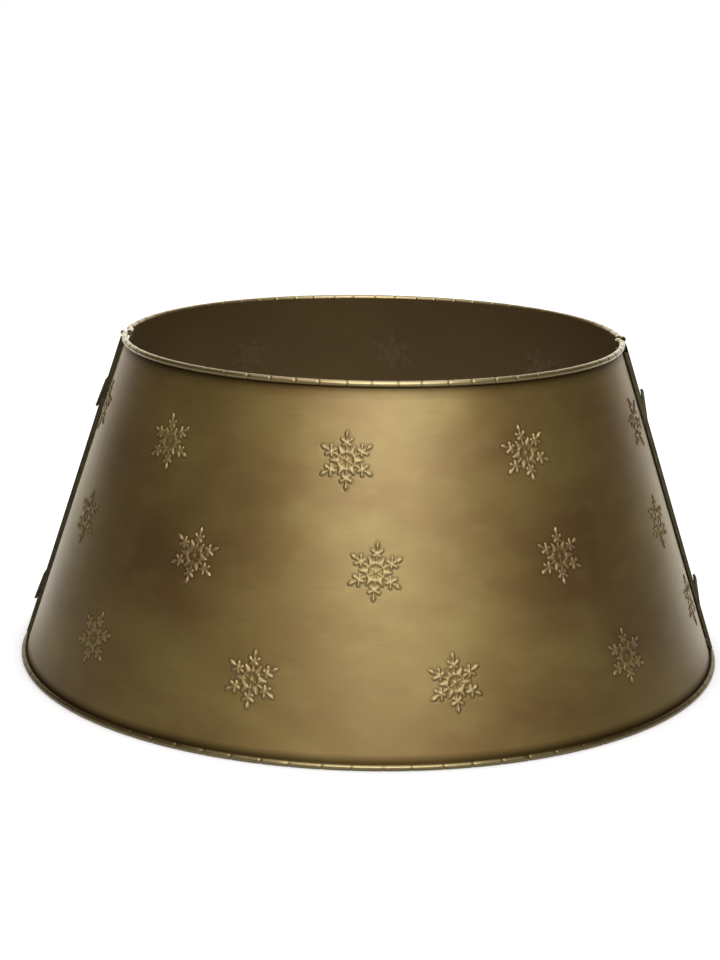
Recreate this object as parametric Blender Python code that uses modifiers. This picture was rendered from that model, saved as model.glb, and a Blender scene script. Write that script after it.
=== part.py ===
"""Two-piece metal tree collar with embossed snowflakes and wired rims. Metres, +Z up.

The collar is an open cone that stands round the foot of a tree. It comes apart into a front half (-Y)
and a back half (+Y). Each half is one sheet: its left end, seen from outside, is raised into a land that
laps over the other half, and its right end is set in a little and carries two riveted hooks. The hooks
come out through windows in the other half's land. Lifting the back half frees all four hooks at once.
"""

from math import acos, atan2, ceil, cos, pi, radians, sin, sqrt

import bmesh
import bpy
from mathutils import Matrix, Vector

# Driving dimensions
BOTTOM_DIAMETER = 0.570
TOP_DIAMETER = 0.401
HEIGHT = 0.260
SHEET = 0.0007
RIM_DIAMETER = 0.0046
CLEARANCE = 0.0003
OVERRUN = 0.002
WELD = 0.00001
SHARP_ANGLE = radians(40)

# Rolled rims and their wires
RIM_MOUTH = 0.0005
RIM_GAP = 0.0006
RIM_LEAD = 0.007
RIM_LEAD_SET_OUT = 0.0024
RIM_LEAD_STEPS = 3
WIRE_END_GAP = 0.0008
WIRE_SIDES_RESOLUTION = 2
ROLL_FACET_TURN = radians(36)

# Upright lines of the sheet round a half, and the steps' room that its two seams take together
PANEL_STEPS = 34
SEAM_STEPS = 2

# Lapped seams
LAND_WIDTH = 0.024
LAND_RUN = 0.002
LAND_GAP_AT_RIM = 0.0003
SEAM_GAP_AT_FOOT = 0.0047
LAP_INSET_TOP = 0.0028
LAP_INSET_BOTTOM = 0.0014
LAP_END_GAP = 0.002
NOTCH_DEPTH = 0.0095
RIM_SETBACK = 0.0015
WIDE_RIM_SETBACK = 0.011
RIM_MEETING_GAP = 0.0010

# Hooks and their rivets
HOOK_LENGTH = 0.024
HOOK_WIDTH = 0.010
HOOK_THICKNESS = 0.002
HOOK_ENGAGEMENT = 0.0024
HOOK_FOOT_LENGTH = 0.016
HOOK_WINDOW_SIDE_GAP = 0.001
HOOK_HEIGHT_SHARES = {
    "right": {"upper": 0.783, "lower": 0.190},
    "left": {"upper": 0.788, "lower": 0.157},
}
RIVET_PLACE_SHARES = (0.32, 0.75)
RIVET_SHANK_DIAMETER = 0.002
RIVET_HEAD_DIAMETER = 0.004
RIVET_HEAD_HEIGHT = 0.0006
RIVET_CROWN_SHARES = ((0.0, 1.0), (0.8, 0.7), (1.0, 0.0))
RIVET_STEPS = 10

# Snowflakes: across the sheet and along it, as shares of the flake's radius, for half of one arm
FLAKE_DIAMETER = 0.042
FLAKE_RELIEF = 0.0010
HALF_ARM_SHARES = ((0.0, 1.0), (0.075, 0.83), (0.235, 0.78), (0.065, 0.44), (0.26, 0.45))
ARMS = 6
# Height as a share of the collar, place as a share of the half turn from the half's middle, tilt in degrees
FLAKE_PLACE_SHARES = (
    (0.790, -0.440, 6), (0.784, -0.236, -8), (0.790, -0.019, -1), (0.792, 0.182, -10), (0.782, 0.418, -15),
    (0.499, -0.363, -4), (0.503, -0.171, 7), (0.505, 0.013, 4), (0.510, 0.204, 0), (0.500, 0.394, 9),
    (0.212, -0.277, 12), (0.209, -0.094, 3), (0.216, 0.083, -3), (0.207, 0.265, 0), (0.224, 0.438, 6),
)

# Worked out from the sizes above
ROLL_RADIUS = (RIM_DIAMETER - SHEET) / 2
WIRE_RADIUS = ROLL_RADIUS - SHEET / 2 - CLEARANCE
RIM_FOOT = (BOTTOM_DIAMETER - RIM_DIAMETER) / 2, RIM_DIAMETER / 2
RIM_TOP = (TOP_DIAMETER - RIM_DIAMETER) / 2, HEIGHT - RIM_DIAMETER / 2
LEAN = atan2(RIM_FOOT[0] - RIM_TOP[0], RIM_TOP[1] - RIM_FOOT[1])
LIFT = (HOOK_ENGAGEMENT + CLEARANCE) / cos(LEAN)
LIFT_OUTWARD = LIFT * sin(LEAN)
PANEL_HALF_TURN = radians(90) * PANEL_STEPS / (PANEL_STEPS + SEAM_STEPS)
FACET_DIP = BOTTOM_DIAMETER / 2 * (1 - cos(PANEL_HALF_TURN / PANEL_STEPS))
LAND_TOP = RIM_DIAMETER + LAND_GAP_AT_RIM
LAND_FOOT = SHEET + SEAM_GAP_AT_FOOT - LAP_INSET_BOTTOM
LOW_LAND_HEIGHT = RIM_DIAMETER + RIM_GAP
NOTCH_HEIGHT = HEIGHT - NOTCH_DEPTH
HIGH_LAND_HEIGHT = HEIGHT - RIM_DIAMETER - RIM_GAP
LAP_END = -LAND_WIDTH / 2 + LAP_END_GAP
TOP_LEADS = ["top lead %d" % step for step in range(1, RIM_LEAD_STEPS + 1)]

METALS = {
    "aged_brass_finish": ((0.19, 0.13, 0.05, 1), 0.42, 1.0),
    "rim_wire_steel": ((0.30, 0.30, 0.30, 1), 0.40, 1.0),
    "hook_dark_brass": ((0.12, 0.09, 0.04, 1), 0.45, 1.0),
}


def clear_scene():
    for thing in list(bpy.data.objects):
        bpy.data.objects.remove(thing, do_unlink=True)


def collection(name):
    made = bpy.data.collections.new(name)
    bpy.context.scene.collection.children.link(made)
    return made


def metal(name):
    colour, roughness, metallic = METALS[name]
    made = bpy.data.materials.new(name)
    made.use_nodes = True
    shader = made.node_tree.nodes["Principled BSDF"]
    shader.inputs["Base Color"].default_value = colour
    shader.inputs["Roughness"].default_value = roughness
    shader.inputs["Metallic"].default_value = metallic
    return made


def mesh_object(bm, name, group, material=None, half=None):
    """Turns a bmesh into a named object under its half's empty."""
    bmesh.ops.recalc_face_normals(bm, faces=bm.faces)
    mesh = bpy.data.meshes.new(name)
    bm.to_mesh(mesh)
    bm.free()
    mesh.shade_smooth()
    mesh.set_sharp_from_angle(angle=SHARP_ANGLE)
    thing = bpy.data.objects.new(name, mesh)
    group.objects.link(thing)
    if material:
        mesh.materials.append(material)
    if half:
        thing.parent = half
    return thing


def cutter(bm, name, group, half):
    thing = mesh_object(bm, name, group, half=half)
    thing.hide_render = True
    thing.display_type = "WIRE"
    return thing


def boolean(thing, other, operation):
    step = thing.modifiers.new(other.name, "BOOLEAN")
    step.operation = operation
    step.object = other


# The cone of the sheet's middle surface, and how far each seam moves it in or out

def cone_radius(height):
    share = (height - RIM_FOOT[1]) / (RIM_TOP[1] - RIM_FOOT[1])
    rim_middle = RIM_FOOT[0] + (RIM_TOP[0] - RIM_FOOT[0]) * share
    return rim_middle - ROLL_RADIUS / cos(LEAN)


def between(foot, top, height):
    share = (height - RIM_FOOT[1]) / (RIM_TOP[1] - RIM_FOOT[1])
    return foot + (top - foot) * share


def flat_offset(height):
    return 0.0


def land_offset(height):
    return between(LAND_FOOT, LAND_TOP, height)


def inset_offset(height):
    return -between(LAP_INSET_BOTTOM, LAP_INSET_TOP, height)


def lead_offset(share):
    """How far a roll has run out from the cone at a share of the way along its free end."""
    def offset(height):
        return RIM_LEAD_SET_OUT * share * share * (3 - 2 * share)
    return offset


def flange_offset(height):
    """The land's free edge turns in, and stops where the other half still passes as it is lifted."""
    return SHEET / 2 + (LIFT_OUTWARD + CLEARANCE) / cos(LEAN)


class Station:
    """One upright line of the sheet: round the cone by a turn, or beside a seam by a distance."""

    def __init__(self, side=None, across=0.0, turn=0.0, offset=flat_offset):
        self.side = side
        self.across = across
        self.turn = turn
        self.offset = offset

    def point(self, radius, height):
        reach = radius + self.offset(height)
        if self.side is None:
            return Vector((reach * sin(self.turn), -reach * cos(self.turn), height))
        x = sqrt(reach * reach - self.across * self.across)
        if self.side == "left":
            return Vector((-x, self.across, height))
        return Vector((x, -self.across, height))


def panel_stations(rim_end):
    """The sheet's stations from its land at the left seam to its set-in end at the right seam.

    Across a seam, distances are negative on the side of the half that carries the land. The leads come
    last: there the rolled rims run on past the joggle without a wall.
    """
    edge = LAND_WIDTH / 2
    joggle = -edge - LAND_RUN
    inset_start = edge - SHEET
    inset_end = RIVET_HEAD_DIAMETER / 2 + CLEARANCE
    stations = {
        "flange": Station("left", edge, offset=flange_offset),
        "land far": Station("left", edge, offset=land_offset),
        "land at lead": Station("left", joggle + RIM_LEAD, offset=land_offset),
        "land near": Station("left", -edge, offset=land_offset),
        "joggle": Station("left", joggle),
    }
    for step in range(PANEL_STEPS + 1):
        share = 2 * step / PANEL_STEPS - 1
        stations["round %d" % step] = Station(turn=PANEL_HALF_TURN * share)
    stations["rim end"] = Station("right", -joggle)
    stations["inset start"] = Station("right", inset_start)
    stations["inset end"] = Station("right", inset_end, offset=inset_offset)
    stations["high rim end"] = Station("right", rim_end, offset=inset_offset)
    stations["lap end"] = Station("right", LAP_END, offset=inset_offset)
    stations["low lead"] = Station("left", -RIM_MEETING_GAP)
    for step, name in enumerate(TOP_LEADS, 1):
        share = step / RIM_LEAD_STEPS
        stations[name] = Station("left", joggle + RIM_LEAD * share, offset=lead_offset(share))
    return stations


def run_of(stations, first, last):
    names = list(stations)
    return names[names.index(first):names.index(last) + 1]


def roll_corners(wall, flat, end):
    """Corners of the rolled rim round its wire: the wall is the first facet, and one facet lies flat."""
    first = ceil(abs(flat - wall) / ROLL_FACET_TURN)
    rest = ceil(abs(end - flat) / ROLL_FACET_TURN) - 1
    facets = [wall + (flat - wall) * step / first for step in range(first + 1)]
    turn = 2 * (end - flat) / (2 * rest + 1)
    facets += [flat + turn * step for step in range(1, rest + 2)]
    corners = []
    for here, there in zip(facets, facets[1:]):
        reach = ROLL_RADIUS / cos((there - here) / 2)
        corners.append((reach * cos((here + there) / 2), reach * sin((here + there) / 2)))
    return corners


def roll_turn():
    """How far the edge is rolled round from the wall, which leaves a mouth between its end and the wall."""
    return pi + acos((RIM_MOUTH + SHEET - ROLL_RADIUS) / ROLL_RADIUS)


class Sheet:
    """An open surface pulled row by row out of chains of edges, one corner at each station."""

    def __init__(self, stations):
        self.bm = bmesh.new()
        self.layer = self.bm.verts.layers.int.new("station")
        self.names = list(stations)
        self.stations = [stations[name] for name in self.names]

    def chain(self, names, radius, height, joggle_of=()):
        """New edges through the named stations, on from an older chain's corner at the joggle."""
        joggle = self.names.index("joggle")
        corners = [corner for edge in joggle_of for corner in edge.verts if corner[self.layer] == joggle]
        for name in names:
            index = self.names.index(name)
            corner = self.bm.verts.new(self.stations[index].point(radius, height))
            corner[self.layer] = index
            corners.append(corner)
        return [self.bm.edges.new(pair) for pair in zip(corners, corners[1:])]

    def part_of(self, edges, first, last):
        low, high = self.names.index(first), self.names.index(last)
        return [edge for edge in edges if all(low <= corner[self.layer] <= high for corner in edge.verts)]

    def pull(self, edges, radius, height):
        made = bmesh.ops.extrude_edge_only(self.bm, edges=edges)["geom"]
        corners = {item for item in made if isinstance(item, bmesh.types.BMVert)}
        for corner in corners:
            corner.co = self.stations[corner[self.layer]].point(radius, height)
        new_edges = [item for item in made if isinstance(item, bmesh.types.BMEdge)]
        return [edge for edge in new_edges if corners.issuperset(edge.verts)]

    def roll(self, edges, middle, corners):
        for across, up in corners:
            edges = self.pull(edges, middle[0] + across, middle[1] + up)


def panel_sheet(stations, high_land, low_rim_end):
    """The half's sheet as an open surface: wall, land, set-in end and both rolled rims.

    From its joggle to the high_land station the land rises to the rim, and past it only to the notch.
    """
    wall = pi + LEAN
    roll = roll_turn()
    low = roll_corners(wall, radians(270), wall + roll)
    high = roll_corners(wall, radians(90), wall - roll)
    foot_at = cone_radius(RIM_FOOT[1] + low[0][1]), RIM_FOOT[1] + low[0][1]
    land_at = cone_radius(LOW_LAND_HEIGHT), LOW_LAND_HEIGHT
    top_at = cone_radius(RIM_TOP[1] + high[0][1]), RIM_TOP[1] + high[0][1]
    sheet = Sheet(stations)
    foot = sheet.chain(run_of(stations, "joggle", "lap end"), *foot_at)
    low_lead = sheet.chain(["low lead"], *foot_at, joggle_of=foot)
    sheet.roll(low_lead + sheet.part_of(foot, "joggle", low_rim_end), RIM_FOOT, low[1:])
    above = sheet.pull(foot, *land_at)
    land_run = reversed(run_of(stations, "flange", "joggle")[:-1])
    land = sheet.chain(land_run, *land_at, joggle_of=above)
    notch = sheet.pull(land + above, cone_radius(NOTCH_HEIGHT), NOTCH_HEIGHT)
    wall_row = sheet.part_of(notch, "joggle", "high rim end")
    land_row = sheet.part_of(notch, high_land, "joggle")
    shoulder = sheet.pull(land_row + wall_row, cone_radius(HIGH_LAND_HEIGHT), HIGH_LAND_HEIGHT)
    top = sheet.pull(sheet.part_of(shoulder, "joggle", "high rim end"), *top_at)
    high_lead = sheet.chain(TOP_LEADS, *top_at, joggle_of=top)
    sheet.roll(high_lead + top, RIM_TOP, high[1:])
    return sheet.bm


def seam_frame(side, height, offset):
    """A frame on the sheet's middle at a seam: X up the sheet, Y across it, Z outwards."""
    turn = 1 if side == "right" else -1
    here = Vector((turn * (cone_radius(height) + offset(height)), 0, height))
    above = height + HOOK_LENGTH
    there = Vector((turn * (cone_radius(above) + offset(above)), 0, above))
    up = (there - here).normalized()
    across = Vector((0, -turn, 0))
    return Matrix.Translation(here) @ Matrix((up, across, up.cross(across))).transposed().to_4x4()


def box(bm, low, high, frame):
    corners = bmesh.ops.create_cube(bm, size=1)["verts"]
    size = Matrix.Diagonal((Vector(high) - Vector(low)).to_4d())
    middle = Matrix.Translation((Vector(high) + Vector(low)) / 2)
    bmesh.ops.transform(bm, matrix=frame @ middle @ size, verts=corners)


def turned(bm, frame, radius, low, high, steps):
    made = bmesh.ops.create_cone(
        bm, cap_ends=True, segments=steps, radius1=radius, radius2=radius, depth=high - low,
        matrix=frame @ Matrix.Translation((0, 0, (high + low) / 2)),
    )
    return made["verts"]


def hook_height(seam, place):
    return HEIGHT * HOOK_HEIGHT_SHARES[seam][place]


def hook_start(points):
    """Where a hook leaves the sheet, measured up the sheet from the hook's middle."""
    return -points * HOOK_LENGTH / 2


def land_rise(height, along):
    """From the set-in end's middle to the land's middle, square to the sheet, at a place on a hook."""
    there = height + along * cos(LEAN)
    return (land_offset(there) - inset_offset(there)) * cos(LEAN)


def window_cutter(name, group, half, height, points):
    """The opening in a land through which the other half's hook comes out and is lifted off."""
    frame = seam_frame("left", height, inset_offset)
    start = hook_start(points)
    back = start - points * (HOOK_ENGAGEMENT + HOOK_THICKNESS / 2 + 2 * CLEARANCE)
    front = start + points * (HOOK_LENGTH - HOOK_ENGAGEMENT)
    side = HOOK_WIDTH / 2 + HOOK_WINDOW_SIDE_GAP
    rise = land_rise(height, 0)
    bm = bmesh.new()
    box(bm, (min(back, front), -side, rise - OVERRUN), (max(back, front), side, rise + OVERRUN), frame)
    return cutter(bm, name, group, half)


def slit_cutter(name, group, half, height, points):
    """The slit for a hook's neck, in the set-in end that carries it."""
    frame = seam_frame("right", height, inset_offset)
    start = hook_start(points)
    neck = HOOK_THICKNESS / 2 + CLEARANCE
    side = HOOK_WIDTH / 2 + CLEARANCE
    bm = bmesh.new()
    box(bm, (start - neck, -side, -OVERRUN), (start + neck, side, OVERRUN), frame)
    return cutter(bm, name, group, half)


def rivet_hole_cutter(name, group, half, height, points):
    """The holes for a hook's rivets, through its foot and the sheet under it."""
    frame = seam_frame("right", height, inset_offset)
    bm = bmesh.new()
    for share in RIVET_PLACE_SHARES:
        along = hook_start(points) + points * HOOK_FOOT_LENGTH * share
        hole = RIVET_SHANK_DIAMETER / 2 + CLEARANCE
        low = -(HOOK_THICKNESS + OVERRUN)
        turned(bm, frame @ Matrix.Translation((along, 0, 0)), hole, low, OVERRUN, RIVET_STEPS)
    return cutter(bm, name, group, half)


def flake_outline():
    """The outline of a snowflake on a flat sheet, mirrored and turned from half of one arm."""
    half_arm = list(HALF_ARM_SHARES)
    arm = [(-across, along) for across, along in half_arm[-2:0:-1]] + half_arm
    radius = FLAKE_DIAMETER / 2
    points = []
    for number in range(ARMS):
        turn = Matrix.Rotation(-2 * pi * number / ARMS, 2)
        points += [turn @ Vector(share) * radius for share in arm]
    return points


def snowflake(bm, place):
    """One raised snowflake, drawn flat and then laid on the cone."""
    height_share, turn_share, tilt = place
    height = HEIGHT * height_share
    middle = Vector((cone_radius(height), height))
    up = Vector((-sin(LEAN), cos(LEAN)))
    out = Vector((cos(LEAN), sin(LEAN)))
    spin = Matrix.Rotation(radians(-tilt), 2)
    flat = [spin @ point for point in flake_outline()]
    root = -FACET_DIP / 2
    base = bm.faces.new([bm.verts.new((point.x, point.y, root)) for point in flat])
    raised = bmesh.ops.extrude_face_region(bm, geom=[base])["geom"]
    top = [item for item in raised if isinstance(item, bmesh.types.BMVert)]
    bmesh.ops.translate(bm, vec=(0, 0, SHEET / 2 + FLAKE_RELIEF - root), verts=top)
    for corner in set(base.verts) | set(top):
        reach, level = middle + up * corner.co.y + out * corner.co.z
        turn = pi * turn_share + corner.co.x / middle.x
        corner.co = Vector((reach * sin(turn), -reach * cos(turn), level))


def snowflakes(name, group, half):
    bm = bmesh.new()
    for place in FLAKE_PLACE_SHARES:
        snowflake(bm, place)
    return cutter(bm, name, group, half)


def panel(name, half, parts, cutters, finish, bm, seam, points, holes):
    """One half's sheet, with its windows for the other half's hooks and the seats of its own."""
    sheet = mesh_object(bm, name, parts, finish, half)
    wall = sheet.modifiers.new("sheet thickness", "SOLIDIFY")
    wall.thickness = SHEET
    wall.offset = 0
    wall.use_even_offset = True
    wall.use_quality_normals = True
    other_seam = "left" if seam == "right" else "right"
    for place in holes:
        window_height, slit_height = hook_height(other_seam, place), hook_height(seam, place)
        window = window_cutter(name + "_window_" + place, cutters, half, window_height, -points)
        slit = slit_cutter(name + "_slit_" + place, cutters, half, slit_height, points)
        for opening in (window, slit, holes[place]):
            boolean(sheet, opening, "DIFFERENCE")
    boolean(sheet, snowflakes(name + "_snowflakes", cutters, half), "UNION")
    return sheet


def rim_wire(name, half, parts, finish, stations, run, middle):
    """The wire in a rolled rim, bent at the sheet's own stations."""
    points = [stations[station].point(*middle) for station in run]
    for end, inner in ((0, 1), (-1, -2)):
        points[end] = points[end] + (points[inner] - points[end]).normalized() * WIRE_END_GAP
    curve = bpy.data.curves.new(name, "CURVE")
    curve.dimensions = "3D"
    curve.bevel_depth = WIRE_RADIUS
    curve.bevel_resolution = WIRE_SIDES_RESOLUTION
    curve.use_fill_caps = True
    curve.materials.append(finish)
    line = curve.splines.new("POLY")
    line.points.add(len(points) - 1)
    for corner, point in zip(line.points, points):
        corner.co = point.to_4d()
    thing = bpy.data.objects.new(name, curve)
    parts.objects.link(thing)
    thing.parent = half
    return thing


def hook(name, half, parts, finish, height, points, holes):
    """A bent strip: foot on the sheet's inner face, neck through both laps, tongue rising over the land."""
    frame = seam_frame("right", height, inset_offset)
    start = hook_start(points)
    inside = -(SHEET / 2 + CLEARANCE + HOOK_THICKNESS / 2)
    tip_gap = LIFT_OUTWARD + CLEARANCE if points > 0 else 3 * CLEARANCE
    neck_sunk = HOOK_THICKNESS if points > 0 else HOOK_THICKNESS / 4

    def over_land(along, gap):
        return land_rise(height, along) + SHEET / 2 + gap + HOOK_THICKNESS / 2

    tip = start + points * HOOK_LENGTH
    line = (
        (start + points * HOOK_FOOT_LENGTH, inside),
        (start, inside),
        (start, over_land(start, -neck_sunk)),
        (tip, over_land(tip, tip_gap)),
    )
    bm = bmesh.new()
    corners = [bm.verts.new((along, -HOOK_WIDTH / 2, out)) for along, out in line]
    edges = [bm.edges.new(pair) for pair in zip(corners, corners[1:])]
    made = bmesh.ops.extrude_edge_only(bm, edges=edges)["geom"]
    far = [item for item in made if isinstance(item, bmesh.types.BMVert)]
    bmesh.ops.translate(bm, vec=(0, HOOK_WIDTH, 0), verts=far)
    bmesh.ops.transform(bm, matrix=frame, verts=bm.verts)
    strip = mesh_object(bm, name, parts, finish, half)
    wall = strip.modifiers.new("strip thickness", "SOLIDIFY")
    wall.thickness = HOOK_THICKNESS
    wall.offset = 0
    wall.use_even_offset = True
    boolean(strip, holes, "DIFFERENCE")
    return strip


def rivet(name, half, parts, finish, height, points, share):
    """A turned rivet that holds a hook's foot to the sheet, with a low head on each side."""
    frame = seam_frame("right", height, inset_offset)
    along = hook_start(points) + points * HOOK_FOOT_LENGTH * share
    outer = SHEET / 2 + CLEARANCE
    inner = -(SHEET / 2 + CLEARANCE + HOOK_THICKNESS + CLEARANCE)
    head = RIVET_HEAD_DIAMETER / 2
    shank = RIVET_SHANK_DIAMETER / 2
    crown = [(head * out, RIVET_HEAD_HEIGHT * up) for out, up in RIVET_CROWN_SHARES]
    profile = [(out, outer + up) for out, up in crown] + [(shank, outer), (shank, inner)]
    profile += [(out, inner - up) for out, up in reversed(crown)]
    bm = bmesh.new()
    corners = [bm.verts.new((out, 0, up)) for out, up in profile]
    edges = [bm.edges.new(pair) for pair in zip(corners, corners[1:])]
    whole_turn = {"angle": 2 * pi, "steps": RIVET_STEPS, "use_merge": True}
    bmesh.ops.spin(bm, geom=corners + edges, axis=(0, 0, 1), cent=(0, 0, 0), **whole_turn)
    bmesh.ops.remove_doubles(bm, verts=bm.verts, dist=WELD)
    bmesh.ops.transform(bm, matrix=frame @ Matrix.Translation((along, 0, 0)), verts=bm.verts)
    return mesh_object(bm, name, parts, finish, half)


def collar_half(name, seam, turn, points, high_land, rim_end, low_rim_end, parts, cutters, finishes):
    """One half of the collar, made as the front half and turned into place by its empty."""
    half = bpy.data.objects.new(name + "_half", None)
    parts.objects.link(half)
    half.rotation_euler = (0, 0, turn)
    brass, steel, dark = finishes
    holes = {}
    for place in HOOK_HEIGHT_SHARES[seam]:
        hole_name = name + "_rivet_holes_" + place
        holes[place] = rivet_hole_cutter(hole_name, cutters, half, hook_height(seam, place), points)
    stations = panel_stations(rim_end)
    bm = panel_sheet(stations, high_land, low_rim_end)
    panel(name + "_panel", half, parts, cutters, brass, bm, seam, points, holes)
    top_run = run_of(stations, "joggle", "high rim end")
    low_run = ["low lead"] + run_of(stations, "joggle", low_rim_end)
    rim_wire(name + "_top_rim_wire", half, parts, steel, stations, top_run, RIM_TOP)
    rim_wire(name + "_bottom_rim_wire", half, parts, steel, stations, low_run, RIM_FOOT)
    for place in HOOK_HEIGHT_SHARES[seam]:
        hook_name = "%s_%s_hook" % (seam, place)
        height = hook_height(seam, place)
        hook(hook_name, half, parts, dark, height, points, holes[place])
        for number, share in enumerate(RIVET_PLACE_SHARES, 1):
            rivet("%s_rivet_%d" % (hook_name, number), half, parts, dark, height, points, share)
    return half


def main():
    clear_scene()
    parts = collection("tree_collar")
    cutters = collection("cutters")
    finishes = [metal(name) for name in METALS]
    far_end = LAP_END + WIDE_RIM_SETBACK
    near_end = LAP_END + RIM_SETBACK
    collar_half("front", "right", 0, 1, "land at lead", far_end, "inset end", parts, cutters, finishes)
    collar_half("back", "left", pi, -1, "land far", near_end, "rim end", parts, cutters, finishes)


main()
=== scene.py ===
"""The finish of a two-piece metal tree collar: aged brass on thin sheet, stamped with snowflakes.

Metres, +Z up, front half towards -Y. Each half is made as the front half and turned into place.
"""

from itertools import product
from math import acos, atan2, ceil, cos, pi, radians, sin, sqrt

import bmesh
import bpy
import numpy as np
from mathutils import Matrix, Vector


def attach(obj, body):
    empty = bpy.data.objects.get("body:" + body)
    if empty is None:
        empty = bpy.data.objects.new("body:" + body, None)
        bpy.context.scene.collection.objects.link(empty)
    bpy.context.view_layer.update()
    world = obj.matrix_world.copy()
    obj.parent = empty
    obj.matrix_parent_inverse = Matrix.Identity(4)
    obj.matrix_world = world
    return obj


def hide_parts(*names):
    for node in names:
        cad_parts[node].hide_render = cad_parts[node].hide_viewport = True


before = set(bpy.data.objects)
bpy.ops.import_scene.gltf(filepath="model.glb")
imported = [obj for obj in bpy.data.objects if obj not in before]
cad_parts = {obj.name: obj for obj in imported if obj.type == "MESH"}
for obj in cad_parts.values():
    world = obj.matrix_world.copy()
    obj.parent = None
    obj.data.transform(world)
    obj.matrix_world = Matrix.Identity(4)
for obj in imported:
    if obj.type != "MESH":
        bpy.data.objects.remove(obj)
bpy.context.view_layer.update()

# The collar, as the model has it
BOTTOM_DIAMETER = 0.570
TOP_DIAMETER = 0.401
HEIGHT = 0.260
SHEET = 0.0007
RIM_DIAMETER = 0.0046
CLEARANCE = 0.0003
OVERRUN = 0.002
WELD = 0.00001
CREASE_ANGLE = radians(45)
PLAIN_LEEWAY = SHEET / 4

# Rolled rims, and the places along them where the roll was nipped tight
RIM_MOUTH = 0.0005
RIM_GAP = 0.0006
RIM_LEAD = 0.007
RIM_LEAD_SET_OUT = 0.0024
RIM_LEAD_STEPS = 8
RIM_FACET_TURN = radians(20)
CRIMP_HALF_WIDTH = 0.0012
CRIMP_DEPTH = 0.0004
CRIMP_CUTS = 4
CRIMP_SPACING = {"top": 0.0183, "bottom": 0.0216}
CRIMP_START = {"top": radians(1.1), "bottom": radians(-0.8)}
CRIMP_WANDER_SHARE = 0.05

# Sheet columns and rows
PANEL_HALF_TURN = radians(85)
PANEL_COLUMNS = 170
ROW_STEP = 0.005
LAND_COLUMNS = 10
BEND_COLUMNS = 4

# Lapped seams
LAND_WIDTH = 0.024
LAND_RUN = 0.002
LAND_GAP_AT_RIM = 0.0003
SEAM_GAP_AT_FOOT = 0.0047
LAP_INSET_TOP = 0.0028
LAP_INSET_BOTTOM = 0.0014
LAP_END_GAP = 0.002
NOTCH_DEPTH = 0.0095
RIM_SETBACK = 0.0015
WIDE_RIM_SETBACK = 0.011
RIM_MEETING_GAP = 0.0010

# Hooks and rivets
HOOK_LENGTH = 0.024
HOOK_WIDTH = 0.010
HOOK_THICKNESS = 0.002
HOOK_ENGAGEMENT = 0.0024
HOOK_FOOT_LENGTH = 0.016
HOOK_WINDOW_SIDE_GAP = 0.001
HOOK_HEIGHT_SHARES = {
    "right": {"upper": 0.783, "lower": 0.190},
    "left": {"upper": 0.788, "lower": 0.157},
}
HOOK_BEND = 0.0012
HOOK_BEND_STEPS = 5
HOOK_EDGE = 0.0002
HOOK_EDGE_STEPS = 2
HOOK_EDGE_ANGLE = radians(60)
DOWN_HOOK_GAP = 0.0009
DOWN_HOOK_NECK_SUNK = 0.0005
RIVET_PLACE_SHARES = (0.32, 0.75)
RIVET_SHANK_DIAMETER = 0.002
RIVET_HEAD_DIAMETER = 0.004
RIVET_HEAD_HEIGHT = 0.0006
RIVET_DOME_STEPS = 5
RIVET_STEPS = 24

# Snowflakes
FLAKE_DIAMETER = 0.042
FLAKE_RELIEF = 0.0008
FLAKE_CUTS = 7
FLAKE_BACK_CUTS = 2
FLAKE_EDGE = 0.00045
FLAKE_GROOVE_WIDTH = 0.0017
FLAKE_GROOVE_DEPTH = 0.00012
FLAKE_FIELD_SHARE = 0.27
FLAKE_FIELD_DEPTH = 0.00025
FLAKE_BACK_RELIEF = 0.0006
FLAKE_BACK_SOFTNESS = 0.0010
# Height as a share of the collar, place as a share of the half turn from the half's middle, tilt in degrees
FLAKE_PLACE_SHARES = (
    (0.790, -0.440, 6), (0.784, -0.236, -8), (0.790, -0.019, -1), (0.792, 0.182, -10), (0.782, 0.418, -15),
    (0.499, -0.363, -4), (0.503, -0.171, 7), (0.505, 0.013, 4), (0.510, 0.204, 0), (0.500, 0.394, 9),
    (0.212, -0.277, 12), (0.209, -0.094, 3), (0.216, 0.083, -3), (0.207, 0.265, 0), (0.224, 0.438, 6),
)
# Ridges of half an arm, in shares of the flake's radius: start along and across, half width, the same at the
# end, and height as a share of the relief
RIDGE_SHARES = (
    (0.000, 0.000, 0.070, 0.000, 0.000, 0.070, 0.80),
    (0.050, 0.000, 0.026, 0.290, 0.000, 0.020, 0.42),
    (0.061, 0.035, 0.018, 0.200, 0.115, 0.014, 0.28),
    (0.300, 0.000, 0.040, 0.262, 0.151, 0.045, 0.72),
    (0.277, 0.160, 0.100, 0.360, 0.208, 0.062, 0.86),
    (0.360, 0.208, 0.062, 0.462, 0.267, 0.016, 0.86),
    (0.300, 0.000, 0.028, 0.800, 0.000, 0.030, 0.55),
    (0.600, 0.000, 0.066, 0.620, 0.000, 0.066, 0.85),
    (0.610, 0.010, 0.030, 0.712, 0.168, 0.040, 0.90),
    (0.600, 0.010, 0.040, 0.525, 0.115, 0.044, 0.80),
    (0.800, 0.000, 0.024, 0.895, 0.000, 0.060, 1.00),
    (0.895, 0.000, 0.060, 0.980, 0.000, 0.018, 1.00),
)
ARM_TURN = radians(60)
RIDGE_FLATNESS = 2.5
RIDGE_STEEPNESS = 0.75

# Slight waviness of hand-rolled sheet: turns round, rises up the sheet and amplitude
WAVES = ((5, 0.9, 0.00010), (9, -1.6, 0.00008), (14, 2.3, 0.00005))
WAVE_FADE = 0.03

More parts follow.
